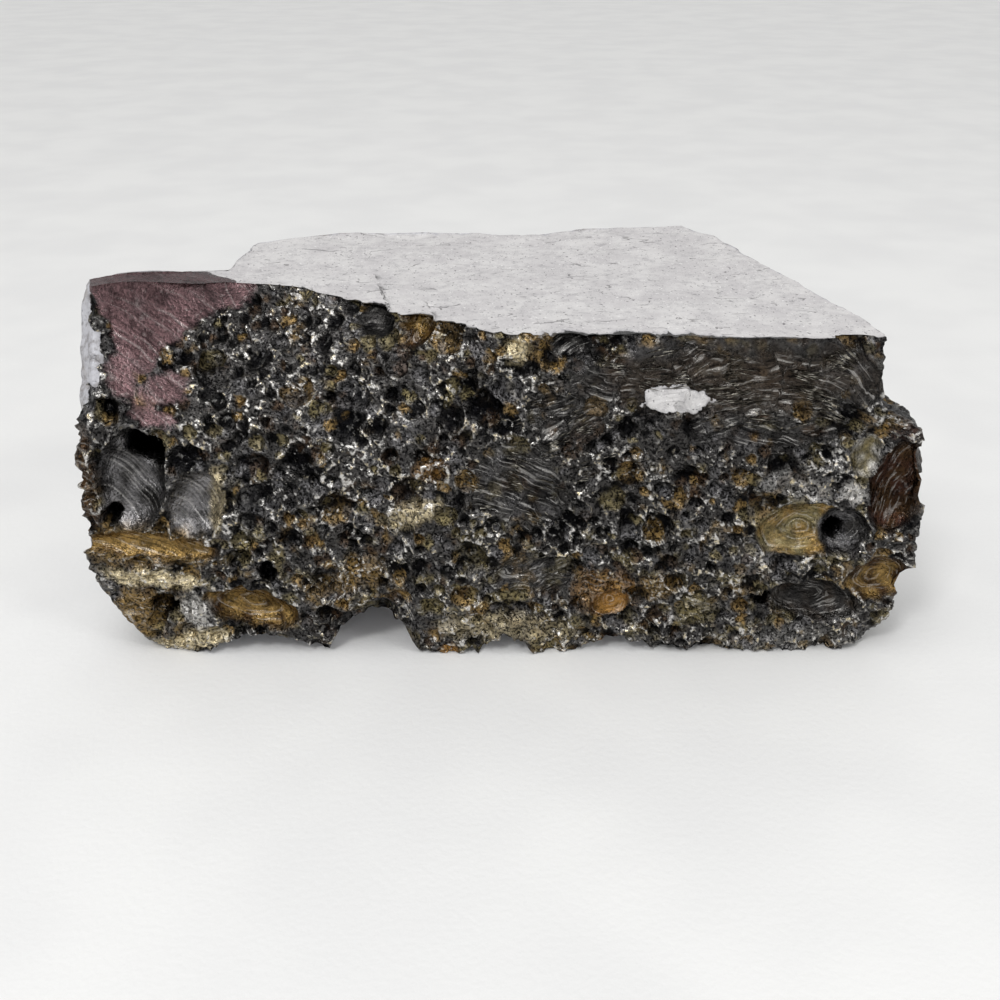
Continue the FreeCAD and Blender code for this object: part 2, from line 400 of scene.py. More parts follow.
def hollow_height(x, y):
    """Height of the domes under the lump at (x, y): one less the squared distance, raised to a power."""
    height = np.zeros_like(x)
    for middle, half_width, rise, run in HOLLOWS:
        left_over = 1 - ((x - middle) / half_width) ** 2 - ((y - HOLLOW_FRONT) / run) ** 2
        height = np.maximum(height, rise * np.clip(left_over, 0, 1) ** 0.8)
    return height


# ---------------------------------------------------------------- relief and colour of the broken face

def leaned(x, z, spot):
    """Position in a leaned ellipse (x, height, half width, half height, ..., lean): its own two axes."""
    lean = math.radians(spot[4])
    across, up = x - spot[0], z - spot[1]
    return (
        (across * math.cos(lean) - up * math.sin(lean)) / spot[2],
        (across * math.sin(lean) + up * math.cos(lean)) / spot[3],
    )


def inside_outline(x, z, outline):
    """Distance in from a closed outline: the least distance to a side, negative where crossings are even."""
    distance = np.full(len(x), 1e9)
    crossings = np.zeros(len(x), dtype=bool)
    for (x0, z0), (x1, z1) in zip(outline, outline[1:] + outline[:1]):
        span = (x1 - x0) ** 2 + (z1 - z0) ** 2
        share = np.clip(((x - x0) * (x1 - x0) + (z - z0) * (z1 - z0)) / span, 0, 1)
        distance = np.minimum(distance, np.hypot(x - x0 - share * (x1 - x0), z - z0 - share * (z1 - z0)))
        if z0 != z1:
            straddles = (z0 > z) != (z1 > z)
            crossings ^= straddles & (x < x0 + (z - z0) * (x1 - x0) / (z1 - z0))
    return np.where(crossings, distance, -distance)


class Surface:
    """Everything known about the wall's points while the relief is built up, all in millimetres."""

    def __init__(self, points, turns):
        self.points = points
        self.sink = np.zeros(len(points))       # how far a point goes in from the base shape
        self.calm = np.zeros(len(points))       # 1 where the random pores are kept out
        self.grain = np.zeros(len(points))      # distance across the fine lines
        self.lines = np.zeros(len(points))      # strength of the fine lines
        self.skin = np.zeros(len(points))       # 1 on cast skin
        self.top = np.zeros(len(points))        # 1 where that skin is as clean as on the top face
        self.glint = np.zeros(len(points))      # 1 where a highlight is painted on crests
        share = EYE[1] / (EYE[1] - points[:, 1])
        self.x = points[:, 0] * share
        self.z = EYE[2] + (points[:, 2] - EYE[2]) * share
        self.front = step_up(turns, -0.4, 0.0) * (1 - step_up(turns, 7.15, 7.6))
        wobble = np.stack([layered(points, 5.0, 301 + k) for k in range(2)], axis=1)
        self.x = self.x + 1.1 * wobble[:, 0]
        self.z = self.z + 1.1 * wobble[:, 1]
        self.tint = np.tile(np.array(CHARCOAL), (len(points), 1))


def paint_ground(surface):
    """The colour of the foam before its features: charcoal with drifts of steel, gold, brown and olive."""
    points = surface.points
    surface.tint = blend(surface.tint, STEEL, 0.55 * step_up(layered(points, 6.0, 21), 0.0, 0.6))
    drift = layered(points, 11.0, 22)
    fleck = layered(points, 2.6, 23)
    low = 1 - step_up(points[:, 2], 20, 50)
    surface.tint = blend(surface.tint, GOLD, step_up(drift + 0.7 * fleck + 0.25 * low, 0.35, 0.9) * 0.7)
    surface.tint = blend(surface.tint, BROWN, step_up(layered(points, 7.0, 24) + 0.4 * fleck, 0.25, 0.6) * 0.8)
    surface.tint = blend(surface.tint, OLIVE, step_up(layered(points, 5.0, 25) + 0.3 * low, 0.35, 0.7) * 0.6)


def open_pores(surface, amount):
    """Random round pores in five sizes, each a bowl in its own cell, and the thin walls between them.

    Some bowls get painted shade, and the walls and the fine crests get painted highlights. The largest size is
    left out on the front, which has its named cavities.
    """
    warp = np.stack([soft_noise(surface.points, 2.2, 41 + k) for k in range(3)], axis=1)
    points = surface.points + 0.5 * warp
    open_share = amount * (1 - surface.calm)
    deepest = np.zeros(len(points))
    # Patches where the painted highlights are stronger.
    highlight_zone = 0.5 + 0.5 * step_up(soft_noise(points, 8.0, 56), -0.35, 0.25)
    for size, chance, depth, seed in (
            (19.0, 0.75, 0.24, 50), (8.5, 0.42, 0.42, 51), (5.2, 0.62, 0.50, 52), (3.2, 0.8, 0.55, 53)):
        near, kind = foam(points, size, seed)
        radius = 0.34 + 0.26 * kind[:, 1]
        bowl = np.sqrt(np.clip(1 - (near / radius) ** 2, 0, 1)) * (kind[:, 0] < chance)
        bowl = bowl * ((1 - surface.front) if size > 10 else 1.0)
        deepest = np.maximum(deepest, bowl * depth * size * radius * 1.6)
        # Painted highlight on the thin walls between pores.
        wall = step_up(-np.abs(near / radius - 1.10), -0.20, -0.03) * (kind[:, 0] < chance)
        wall = wall * highlight_zone * ((1 - surface.front) if size > 10 else 1.0)
        surface.glint = np.maximum(surface.glint, wall * open_share * (0.25 + 0.75 * kind[:, 1]))
        pick = (kind[:, 0] * 97.0) % 1.0
        for low, colour in enumerate((STEEL, OLIVE, BROWN, GOLD, STEEL)):
            chosen = (pick >= low * 0.10) & (pick < low * 0.10 + 0.10)
            surface.tint = blend(surface.tint, colour, 0.6 * chosen * step_up(bowl, 0.0, 0.4) * open_share)
        # Painted shade: about half of the pores go near black towards the bottom of the bowl.
        shadowed = (pick >= 0.5) * step_up(bowl, 0.25, 0.8) * open_share
        surface.tint = blend(surface.tint, BLACK_AND_SHADE, 0.9 * shadowed)
    near, kind = foam(points, 1.9, 54)
    fine = np.clip(1 - near / 0.55, 0, 1) * (kind[:, 0] < 0.85)
    crests = 1 - np.abs(layered(points, 3.0, 55, 2)) * 2.2
    surface.sink += open_share * (deepest + 0.8 * fine - 0.8 * np.clip(crests, -1, 1))
    # Painted highlight on the crests of the fine relief, kept off deep points.
    fine_crest_highlight = step_up(crests, 0.72, 0.98) * step_up(-deepest, -1.2, 0) * highlight_zone
    surface.glint = np.maximum(surface.glint, open_share * fine_crest_highlight)


def cut_cavities(surface):
    """The named gas cavities: an ellipsoid's bowl with a raised lip and rings or streaks inside."""
    for x, z, half_x, half_z, depth, lean, colour, other, grain, angle in CAVITIES:
        across, up = leaned(surface.x, surface.z, (x, z, half_x, half_z, lean))
        radius = np.hypot(across, up)
        inside = (1 - step_up(radius, 0.92, 1.04)) * surface.front
        bowl = depth * np.sqrt(np.clip(1 - radius ** 2, 0, 1)) * surface.front
        size = math.sqrt(half_x * half_z)
        if grain == "ring":
            phase = radius * size + 0.8 * soft_noise(surface.points, 4.0, 61)
            along = np.arctan2(up, across) * size
        else:
            slant = math.radians(angle)
            phase = surface.points[:, 2] * math.cos(slant) - surface.points[:, 0] * math.sin(slant)
            phase = phase + 1.2 * soft_noise(surface.points, 7.0, 62)
            along = surface.points[:, 0] * math.cos(slant) + surface.points[:, 2] * math.sin(slant)
        ripple = 0.30 * streaks(phase, along, 65) * (grain != "plain")
        surface.sink = surface.sink * (1 - inside) + (bowl + ripple * inside) * (inside > 0)
        surface.sink -= 0.55 * np.exp(-((radius - 1.07) / 0.07) ** 2) * surface.front
        surface.grain = np.where(inside > 0.5, phase, surface.grain)
        surface.lines = np.maximum(surface.lines * (1 - inside), inside * (0.7 if grain != "plain" else 0.2))
        shade = step_up(soft_noise(surface.points, 3.2, 63) + 0.5 * radius - 0.2, -0.2, 0.6)
        tint = blend(np.tile(np.array(colour), (len(shade), 1)), other, shade)
        surface.tint += (tint - surface.tint) * inside[:, None]
        surface.glint = surface.glint * (1 - inside)
        # Painted highlight along the cavity's lip.
        lip_highlight = np.exp(-((radius - 1.05) / 0.07) ** 2) * surface.front
        surface.glint = np.maximum(surface.glint, lip_highlight * (0.4 + 0.6 * soft_noise(surface.points, 4.0, 64)))
        surface.calm = np.maximum(surface.calm, inside)
    for x, z, half_x, half_z, depth, lean in HOLES:
        across, up = leaned(surface.x, surface.z, (x, z, half_x, half_z, lean))
        radius = np.hypot(across, up)
        inside = (1 - step_up(radius, 0.8, 1.0)) * surface.front
        surface.sink += depth * np.sqrt(np.clip(1 - radius ** 2, 0, 1)) * surface.front
        # Painted shade: the inside of each deep hole goes near black.
        surface.tint = blend(surface.tint, BLACK_AND_SHADE, inside)
        surface.glint *= 1 - inside
        surface.lines *= 1 - inside
        surface.calm = np.maximum(surface.calm, inside)


def grow_blades(surface):
    """Fans of crystal blades: drawn-out noise ridges, whose direction changes from patch to patch."""
    _, kind = foam(surface.points, 9.0, 71)
    ragged = 0.35 * soft_noise(surface.points, 5.0, 72)
    for x, z, half_x, half_z, direction in BLADES:
        spot = np.hypot(*leaned(surface.x, surface.z, (x, z, half_x, half_z, 0)))
        inside = (1 - step_up(spot + ragged, 0.75, 1.05)) * surface.front * (1 - surface.calm)
        slant = np.radians(direction + 55 * (kind[:, 0] - 0.5))
        phase = surface.points[:, 2] * np.cos(slant) - surface.points[:, 0] * np.sin(slant)
        phase = phase + 1.2 * soft_noise(surface.points, 7.0, 73)
        along = surface.points[:, 0] * np.cos(slant) + surface.points[:, 2] * np.sin(slant)
        ridge = streaks(phase, along, 74, 1.7)
        surface.sink = surface.sink * (1 - 0.75 * inside) + (0.5 + 0.9 * ridge) * inside
        edge_light = 0.45 * inside * step_up(-ridge, 0.2, 0.55)
        surface.glint = np.maximum(surface.glint * (1 - 0.6 * inside), edge_light)
        surface.grain = np.where(inside > 0.3, phase, surface.grain)
        surface.lines = np.maximum(surface.lines, inside)
        surface.calm = np.maximum(surface.calm, 0.6 * inside)


def lay_stains(surface):
    """Coloured stretches, each a ragged ellipse with fine lines that slant down to the right."""
    ragged = 0.45 * layered(surface.points, 3.5, 81)
    for x, z, half_x, half_z, lean, colour, strength in STAINS:
        spot = np.hypot(*leaned(surface.x, surface.z, (x, z, half_x, half_z, lean)))
        share = strength * (1 - step_up(spot + ragged, 0.6, 1.1)) * surface.front
        surface.tint = blend(surface.tint, colour, share)
        slant = math.radians(12 - lean)
        phase = surface.points[:, 2] * math.cos(slant) + surface.points[:, 0] * math.sin(slant)
        streaked = (share > 0.4) & (surface.lines < 0.2)
        surface.grain = np.where(streaked, phase + 1.5 * ragged, surface.grain)
        surface.lines = np.where(streaked, 0.6, surface.lines)
        surface.calm = np.maximum(surface.calm, 0.5 * share)


def smooth_patch(surface):
    """The heat-stained patch on the raised corner, the pale spot and the pale facet of the left end."""
    ragged = 1.3 * layered(surface.points, 4.0, 91)
    patch = step_up(inside_outline(surface.x, surface.z, list(PATCH_OUTLINE)) + ragged, -0.4, 0.5)
    for spot in PATCH_REMNANTS:
        radius = np.hypot(*leaned(surface.x, surface.z, spot))
        patch = np.maximum(patch, 0.9 * (1 - step_up(radius + 0.45 * ragged, 0.7, 1.0)))
    patch = patch * surface.front
    colour = blend(np.tile(np.array(MAUVE), (len(patch), 1)), STEEL, 0.45 * step_up(ragged, 0, 1.2))
    surface.tint += (colour - surface.tint) * patch[:, None]
    slant = math.radians(-38)
    phase = surface.points[:, 2] * math.cos(slant) - surface.points[:, 0] * math.sin(slant)
    surface.grain = np.where(patch > 0.5, phase + 0.5 * soft_noise(surface.points, 6.0, 92), surface.grain)
    surface.lines = np.where(patch > 0.5, 0.45, surface.lines)
    surface.calm = np.maximum(surface.calm, patch)
    surface.sink = surface.sink * (1 - patch) + 0.15 * patch * soft_noise(surface.points, 2.0, 93)
    surface.glint *= 1 - patch
    torn = 0.55 * layered(surface.points, 2.4, 95)
    for spot in (PALE_SPOT, FACET):
        radius = np.hypot(*leaned(surface.x, surface.z, spot))
        pale = 1 - step_up(radius + torn, 0.8, 1.0)
        if spot is PALE_SPOT:
            pale = pale * surface.front
            surface.top = pale
        surface.skin = np.maximum(surface.skin, pale)
        surface.sink = surface.sink * (1 - pale) + 0.25 * pale * soft_noise(surface.points, 2.5, 94)


def paint_depth_shade(surface):
    """Painted shade: deep points go near black, from 0.9 mm down in the foam and from 2 mm in the cavities."""
    depth_shade = step_up(surface.sink, 0.9, 3.0) * (1 - surface.calm)
    surface.tint = blend(surface.tint, BLACK_AND_SHADE, 0.92 * depth_shade)
    bowl = step_up(surface.sink, 2.0, 9.0) * surface.calm
    surface.tint = blend(surface.tint, BLACK_AND_SHADE, 0.55 * bowl)


def relieve_wall(points, turns):
    """The wall's relief and colour: foam on the broken faces, cast skin on the left end and the brim."""
    surface = Surface(points, turns)
    ends = step_up(turns, 7.3, 7.7) * (1 - step_up(turns, 10.2, 10.8))
    cast = ends * step_up(points[:, 2] + 5 * soft_noise(points, 9.0, 31), 8, 14)
    brim = (1 - surface.front) * step_up(points[:, 2] + 1.5 * soft_noise(points, 4.0, 33), TOP - 4, TOP - 2)
    cast = np.maximum(cast, brim)
    surface.skin = np.maximum(surface.skin, cast)
    paint_ground(surface)
    cut_cavities(surface)
    grow_blades(surface)
    calm_right = 1 - step_up(np.hypot(*leaned(surface.x, surface.z, NEEDLE_BED)), 0.8, 1.1)
    surface.calm = np.maximum(surface.calm, 0.75 * calm_right * surface.front)
    open_pores(surface, (0.85 + 0.15 * surface.front) * (1 - 0.85 * cast))
    lay_stains(surface)
    paint_depth_shade(surface)
    smooth_patch(surface)
    pits = step_up(layered(points, 2.4, 34), 0.25, 0.6)
    surface.sink += cast * (0.5 * layered(points, 6.0, 32) + 0.5 * pits)
    return surface


# ---------------------------------------------------------------- the closed mesh

def cross_strips(rim_front, rim_back):
    """Rows across a cap between two chains of rim points: row numbers from 0 to 1, closer near the rims."""
    share = np.linspace(0, 1, CAP_ROWS + 1)[1:-1]
    share = (share - 0.35 * np.sin(2 * math.pi * share) / (2 * math.pi))[:, None, None]
    return rim_front[None, 1:-1] * (1 - share) + rim_back[None, 1:-1] * share


def strip_faces(table):
    """Two triangles for every square of a table of point numbers, without those that come to a point."""
    a, b, c, d = table[:-1, :-1], table[:-1, 1:], table[1:, 1:], table[1:, :-1]
    faces = np.concatenate([np.stack([a, b, c], -1).reshape(-1, 3), np.stack([a, c, d], -1).reshape(-1, 3)])
    distinct = (faces[:, 0] != faces[:, 1]) & (faces[:, 1] != faces[:, 2]) & (faces[:, 2] != faces[:, 0])
    return faces[distinct]


def wall_grid(turns):
    """The wall's points before its relief, in rows from the bottom up, and each column's foot height."""
    rise = np.linspace(0, 1, WALL_ROWS + 1)[:, None]
    ceiling = top_height(outline_at(turns, np.full(len(turns), TOP))[:, 0])
    foot = outline_at(turns, np.zeros(len(turns)))
    floor = hollow_height(foot[:, 0], foot[:, 1])
    z = floor + rise * (ceiling - floor)
    return np.concatenate([outline_at(np.broadcast_to(turns, z.shape), z), z[..., None]], axis=-1), floor


def outward(wall):
    """Directions out of the wall: the cross product of its grid directions, levelled and averaged."""
    around = np.roll(wall, -1, axis=1) - np.roll(wall, 1, axis=1)
    normal = np.cross(np.gradient(wall, axis=0), around)
    normal[..., 2] *= 0.35
    normal /= np.linalg.norm(normal, axis=-1, keepdims=True)
    for _ in range(6):
        normal = (np.roll(normal, 1, axis=1) + 2 * normal + np.roll(normal, -1, axis=1)) / 4
    return normal.reshape(-1, 3)


def push_wall(wall, floor, out, surface):
    """The wall with its relief: moved along its outward directions, and made ragged at its foot."""
    flat = wall.reshape(-1, 3)
    z = flat[:, 2]
    swell = 1.1 * layered(flat, 22.0, 5, 2) + 0.5 * soft_noise(flat, 9.0, 6)
    foot_out = 1.8 * surface.front * (1 - step_up(z, 0, 9))
    push = (swell - surface.sink + 0.7 * surface.front + foot_out)[:, None] * out
    push[:, 2] *= step_up(z, 0.0, 1.5)
    moved = flat + push
    ragged_foot = np.abs(soft_noise(moved, 4.0, 7)) * 1.3 + np.abs(soft_noise(moved, 1.8, 8)) * 0.8
    above_foot = (wall[..., 2] - floor).reshape(-1)
    moved[:, 2] += ragged_foot * (1 - step_up(above_foot, 0, 4))
    return moved.reshape(wall.shape)


def cap_points(x, y, is_top):
    """The points of the top or bottom cap, and how far each is on the heat-stained rim."""
    points = np.stack([x, y, np.zeros_like(x)], axis=-1).reshape(-1, 3)
    if is_top:
        height = top_height(x).reshape(-1) + 0.45 * soft_noise(points, 16.0, 9)
        back_edge = step_up(points[:, 1], 74, 92)
        height += 0.12 * layered(points, 3.0, 10) + back_edge * soft_noise(points, 9.0, 12)
    else:
        height = hollow_height(x, y).reshape(-1) + 0.9 * np.abs(layered(points, 6.0, 13))
    on_rim = step_up(-points[:, 0] + 1.5 * soft_noise(points, 5.0, 14), 64, 68) * is_top
    on_rim = on_rim * (1 - step_up(points[:, 1] + 2.5 * soft_noise(points, 6.0, 15), 44, 50))
    points[:, 2] = height
    return points, on_rim


@functools.lru_cache(maxsize=1)
def build_lump():
    """Points, triangles, tint, surface values and outward wall directions of the whole lump."""
    turns = column_turns()
    columns = len(turns)
    wall, floor = wall_grid(turns)
    out = outward(wall)
    surface = relieve_wall(wall.reshape(-1, 3), np.broadcast_to(turns, wall.shape[:2]).reshape(-1))
    wall = push_wall(wall, floor, out, surface)

    numbers = np.arange(len(out)).reshape(wall.shape[:2])
    front = np.arange(FRONT_COLUMNS + 1)
    rest = (columns - np.round(front * REST_COLUMNS / FRONT_COLUMNS).astype(int)) % columns
    rest[-1] = FRONT_COLUMNS
    points = [wall.reshape(-1, 3)]
    faces = [strip_faces(np.concatenate([numbers, numbers[:, :1]], axis=1))]
    values = {name: [getattr(surface, name)] for name in ("skin", "top", "calm", "grain", "lines", "glint")}
    tints = [surface.tint]
    start = len(out)
    for row, is_top in ((-1, True), (0, False)):
        inner = cross_strips(wall[row, front], wall[row, rest])
        cap, on_rim = cap_points(inner[..., 0], inner[..., 1], is_top)
        table = np.empty((CAP_ROWS + 1, FRONT_COLUMNS + 1), dtype=int)
        table[0], table[-1] = numbers[row, front], numbers[row, rest]
        table[:, 0], table[:, -1] = numbers[row, front[0]], numbers[row, front[-1]]
        table[1:-1, 1:-1] = start + np.arange(len(cap)).reshape(CAP_ROWS - 1, FRONT_COLUMNS - 1)
        cap_faces = strip_faces(table)
        faces.append(cap_faces[:, ::-1] if is_top else cap_faces)
        points.append(cap)
        tints.append(blend(np.tile(np.array(STEEL), (len(cap), 1)), MAUVE, on_rim))
        on_cap = {"skin": (1.0 if is_top else 0.85) * (1 - on_rim), "top": float(is_top), "calm": on_rim}
        for name, parts in values.items():
            parts.append(np.broadcast_to(on_cap.get(name, 0.0), len(cap)))
        start += len(cap)

    values = {name: np.concatenate(parts) for name, parts in values.items()}
    return np.concatenate(points), np.concatenate(faces), np.concatenate(tints), values, out


def build_needles(count):
    """Thin crystal needles that lie on the blade fans of the broken face.

    Each is a spindle: two tips, and three points round its middle. Its middle is a point of the wall, picked
    oftener where a noise of 6 mm is high, so that needles stand in tufts. It lies along the wall at its fan's
    direction, turned with a noise of 9 mm and by a few degrees at random.
    """
    points, _, _, _, normals = build_lump()
    chance = np.random.default_rng(17)
    wall = points[:len(normals)]
    share = EYE[1] / (EYE[1] - wall[:, 1])
    x = wall[:, 0] * share
    z = EYE[2] + (wall[:, 2] - EYE[2]) * share
    facing = (normals[:, 1] < -0.75) & (wall[:, 0] < RIGHT - 21)
    tufts = 0.02 + step_up(soft_noise(wall, 6.0, 75), 0.0, 0.35)
    turned = 40 * soft_noise(wall, 9.0, 76)
    middles, lengths, slants = [], [], []
    area = sum(spot[2] * spot[3] for spot in NEEDLES)
    for spot in NEEDLES:
        radius = np.hypot(*leaned(x, z, (*spot[:4], 0)))
        wanted = round(count * spot[2] * spot[3] / area)
        weight = tufts * ((radius < 1) & facing)
        chosen = chance.choice(len(wall), wanted, p=weight / weight.sum())
        middles.append(chosen)
        lengths.append(spot[5] * chance.uniform(0.5, 1.5, wanted))
        slants.append(np.radians(spot[4] + turned[chosen] + chance.normal(0, 4, wanted)))
    middles, lengths, slants = (np.concatenate(part) for part in (middles, lengths, slants))
    out = normals[middles]
    along = np.stack([np.cos(slants), np.zeros(len(slants)), np.sin(slants)], axis=1)
    along -= out * np.sum(along * out, axis=1, keepdims=True)
    along /= np.linalg.norm(along, axis=1, keepdims=True)
    across = np.cross(along, out)
    width = chance.uniform(0.10, 0.20, len(middles))[:, None]
    centre = wall[middles] + 0.10 * out
    reach = along * lengths[:, None] / 2
    angles = np.radians([90, 210, 330])
    ring = [centre + width * (np.sin(angle) * out + np.cos(angle) * across) for angle in angles]
    corners = np.stack([centre - reach, *ring, centre + reach], axis=1).reshape(-1, 3)
    spindle = np.array([[0, 2, 1], [0, 3, 2], [0, 1, 3], [4, 1, 2], [4, 2, 3], [4, 3, 1]])
    faces = (np.arange(len(middles))[:, None, None] * 5 + spindle).reshape(-1, 3)
    return corners, faces


def mesh_object(name, points, faces, tint, values):
    """A mesh object from millimetre points, with a tint colour and plain numbers at its points."""
    mesh = bpy.data.meshes.new(name)
    mesh.vertices.add(len(points))
    mesh.vertices.foreach_set("co", ((points + FRONT_SHIFT) * MM).astype(np.float32).ravel())
    mesh.loops.add(faces.size)
    mesh.loops.foreach_set("vertex_index", faces.astype(np.int32).ravel())
    mesh.polygons.add(len(faces))
    mesh.polygons.foreach_set("loop_start", np.arange(0, faces.size, 3, dtype=np.int32))
    mesh.update(calc_edges=True)
    colour = mesh.attributes.new("tint", "FLOAT_COLOR", "POINT")
    rgba = np.concatenate([tint, np.ones((len(tint), 1))], axis=1).astype(np.float32)
    colour.data.foreach_set("color", rgba.ravel())
    for key, value in values.items():
        attribute = mesh.attributes.new(key, "FLOAT", "POINT")
        attribute.data.foreach_set("value", value.astype(np.float32))
    piece = bpy.data.objects.new(name, mesh)
    bpy.context.scene.collection.objects.link(piece)
    return piece


# ---------------------------------------------------------------- materials

class Nodes:
    """Short calls for building one material's nodes."""

    def __init__(self, name):
        self.material = bpy.data.materials.new(name)
        self.material.use_nodes = True
        self.tree = self.material.node_tree
        self.shader = self.tree.nodes["Principled BSDF"]
        where = self.tree.nodes.new("ShaderNodeTexCoord").outputs["Object"]
        scale = self.tree.nodes.new("ShaderNodeVectorMath")
        scale.operation = "SCALE"
        scale.inputs["Scale"].default_value = 1 / MM
        self.tree.links.new(where, scale.inputs[0])
        self.place = scale.outputs[0]           # object coordinates in millimetres

    def link(self, source, socket):
        """Connects a node output, or sets a plain value."""
        if hasattr(source, "is_linked"):
            self.tree.links.new(source, socket)
        else:
            socket.default_value = source

    def value(self, name, output="Fac"):
        """A value that the mesh holds at its points."""
        node = self.tree.nodes.new("ShaderNodeAttribute")
        node.attribute_name = name
        return node.outputs[output]

    def math(self, operation, a, b=0.0):
        """A Math node on two values."""
        node = self.tree.nodes.new("ShaderNodeMath")
        node.operation = operation
        self.link(a, node.inputs[0])
        self.link(b, node.inputs[1])
        return node.outputs[0]

    def noise(self, size, detail=3.0, rough=0.6, place=None):
        """Noise with lumps of that size in millimetres."""
        node = self.tree.nodes.new("ShaderNodeTexNoise")
        node.inputs["Scale"].default_value = 1 / size
        node.inputs["Detail"].default_value = detail
        node.inputs["Roughness"].default_value = rough
        self.link(place or self.place, node.inputs["Vector"])
        return node.outputs["Fac"]

    def combine(self, x, y):
        """A place made of two numbers."""
        node = self.tree.nodes.new("ShaderNodeCombineXYZ")
        self.link(x, node.inputs[0])
        self.link(y, node.inputs[1])
        return node.outputs[0]

    def along_lines(self):
        """A slow change along the fine lines, so that they start and stop."""
        node = self.tree.nodes.new("ShaderNodeSeparateXYZ")
        self.link(self.place, node.inputs[0])
        return self.math("MULTIPLY", self.math("ADD", node.outputs[0], node.outputs[2]), 0.10)

    def stretched(self, share):
        """The place with its X drawn out, so that noise on it runs sideways."""
        node = self.tree.nodes.new("ShaderNodeMapping")
        node.inputs["Scale"].default_value = (share, 1.0, 1.0)
        self.link(self.place, node.inputs["Vector"])
        return node.outputs[0]

    def span(self, value, low, high, to_low=0.0, to_high=1.0):
        """The value's range from low to high carried to another range, smoothly and kept inside it."""
        node = self.tree.nodes.new("ShaderNodeMapRange")
        node.interpolation_type = "SMOOTHSTEP"
        for socket, number in zip(node.inputs[1:5], (low, high, to_low, to_high)):
            socket.default_value = number
        self.link(value, node.inputs["Value"])
        return node.outputs["Result"]

    def mix(self, share, colour, other):
        """Two colours mixed."""
        node = self.tree.nodes.new("ShaderNodeMix")
        node.data_type = "RGBA"
        sockets = [socket for socket in node.inputs if socket.type == "RGBA"]
        self.link(share, node.inputs["Factor"])
        for source, socket in zip((colour, other), sockets):
            self.link((*source, 1.0) if isinstance(source, tuple) else source, socket)
        return next(socket for socket in node.outputs if socket.type == "RGBA")

    def bump(self, height, distance, under=None):
        """A Bump node: a height from 0 to 1 that stands for that many millimetres, over another."""
        node = self.tree.nodes.new("ShaderNodeBump")
        node.inputs["Distance"].default_value = distance * MM
        self.link(height, node.inputs["Height"])
        if under:
            self.link(under, node.inputs["Normal"])
        return node.outputs["Normal"]


def broken_metal(nodes, speck, stripe, crest_light):
    """Broken metal: the tint, with dark and bright specks, lines along the grain and bright crests.

    The dark specks are painted shade in crevices, the bright flecks and crests painted highlights, and the
    lines along the grain carry painted shade in their grooves and painted highlight on their ridges.
    """
    tint, calm, lines = nodes.value("tint", "Color"), nodes.value("calm"), nodes.value("lines")
    coarse = nodes.noise(1.8, 2.0, 0.6)
    # Painted shade: dark specks that stand for crevices, fewer on calm ground.
    speck_share = nodes.span(calm, 0.2, 0.9, 1.0, 0.45)
    painted_pit_shade = nodes.math("MULTIPLY", nodes.span(speck, 0.38, 0.58, 0.92, 0.0), speck_share)
    metal = nodes.mix(painted_pit_shade, tint, BLACK_AND_SHADE)
    drift = nodes.math("MULTIPLY", nodes.span(nodes.noise(4.0, 3.0, 0.6), 0.45, 0.65, 0.0, 0.55), calm)
    metal = nodes.mix(drift, metal, nodes.mix(0.85, metal, BLACK_AND_SHADE))
    # Painted highlight: lighter flecks that stand for small glints.
    fleck = nodes.span(coarse, 0.57, 0.74, 0.0, 0.35)
    metal = nodes.mix(fleck, metal, nodes.mix(0.4, tint, SILVER))
    # Lines along the grain: the grain's own tone, with painted shade in its grooves and painted highlight on
    # its ridges.
    line_dark = nodes.math("MULTIPLY", nodes.span(stripe, 0.47, 0.33), lines)
    metal = nodes.mix(nodes.math("MULTIPLY", line_dark, 0.75), metal, BLACK_AND_SHADE)
    line_light = nodes.math("MULTIPLY", nodes.span(stripe, 0.54, 0.68), lines)
    metal = nodes.mix(nodes.math("MULTIPLY", line_light, 0.75), metal, nodes.mix(0.5, tint, SILVER))
    # Painted highlight on the crests, where the glint value is high, broken up by a fine noise.
    sparkle = nodes.span(nodes.noise(1.1, 2.0, 0.65), 0.44, 0.60)
    crest_highlight = nodes.math("MULTIPLY", nodes.span(nodes.value("glint"), 0.25, 0.85), sparkle)
    highlight_colour = nodes.mix(nodes.span(coarse, 0.50, 0.68), SILVER, CREAM)
    return nodes.mix(nodes.math("MULTIPLY", crest_highlight, crest_light), metal, highlight_colour)


def cast_skin(nodes, crack, skin_colour):
    """Cast skin: pale and clouded, with flecks, dark specks and thin cracks, and rougher off the top face."""
    pale = nodes.mix(nodes.span(nodes.noise(9.0, 4.0), 0.38, 0.62), skin_colour, SKIN_CLOUD)
    pale = nodes.mix(nodes.span(nodes.noise(2.0, 5.0, 0.8), 0.48, 0.64, 0.0, 0.6), pale, SKIN_MOTTLE)
    pale = nodes.mix(nodes.span(nodes.noise(1.0, 2.0, 0.7), 0.60, 0.68), pale, SKIN_FLECK)
    pale = nodes.mix(nodes.span(nodes.noise(0.8, 1.0, 0.5), 0.66, 0.74, 0.0, 0.85), pale, SKIN_SPECK)
    pale = nodes.mix(nodes.math("MULTIPLY", crack, 0.55), pale, SKIN_CRACK)
    side = nodes.math("SUBTRACT", 1.0, nodes.value("top"))
    pale = nodes.mix(nodes.math("MULTIPLY", side, 0.6), pale, FROST)
    rough = nodes.span(nodes.noise(3.0, 5.0, 0.8), 0.44, 0.66, 0.0, 0.75)
    pale = nodes.mix(nodes.math("MULTIPLY", rough, side), pale, SIDE_ROUGH)
    warm = nodes.span(nodes.noise(11.0, 3.0, 0.7), 0.50, 0.70, 0.0, 0.5)
    return nodes.mix(nodes.math("MULTIPLY", warm, side), pale, SIDE_WARM)


